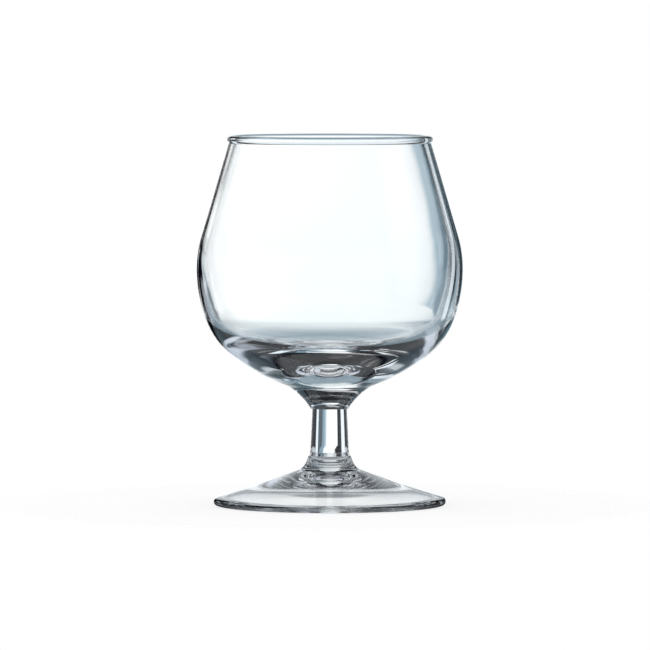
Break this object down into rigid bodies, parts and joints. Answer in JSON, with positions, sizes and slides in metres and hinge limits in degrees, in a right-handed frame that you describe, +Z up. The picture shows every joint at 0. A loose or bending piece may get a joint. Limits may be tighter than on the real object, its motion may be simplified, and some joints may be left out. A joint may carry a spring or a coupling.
{
  "type": "brandy snifter",
  "caption": "Short-stemmed clear glass brandy snifter with a wide belly, a wall that slopes in to a beaded rim, a heavy solid base and a flared disc foot.",
  "frame": {"origin": "centre of the ring the foot stands on, at table height", "axes": "+Z up along the axis of the glass, from the foot to the rim; X and Y are level and alike"},
  "size_m": [0.071, 0.071, 0.0985],
  "materials": {
    "clear_glass": "fire-polished clear glass"
  },
  "bodies": {
    "root": {"bowl": "clear_glass", "stem": "clear_glass", "foot": "clear_glass"}
  },
  "joints": []
}
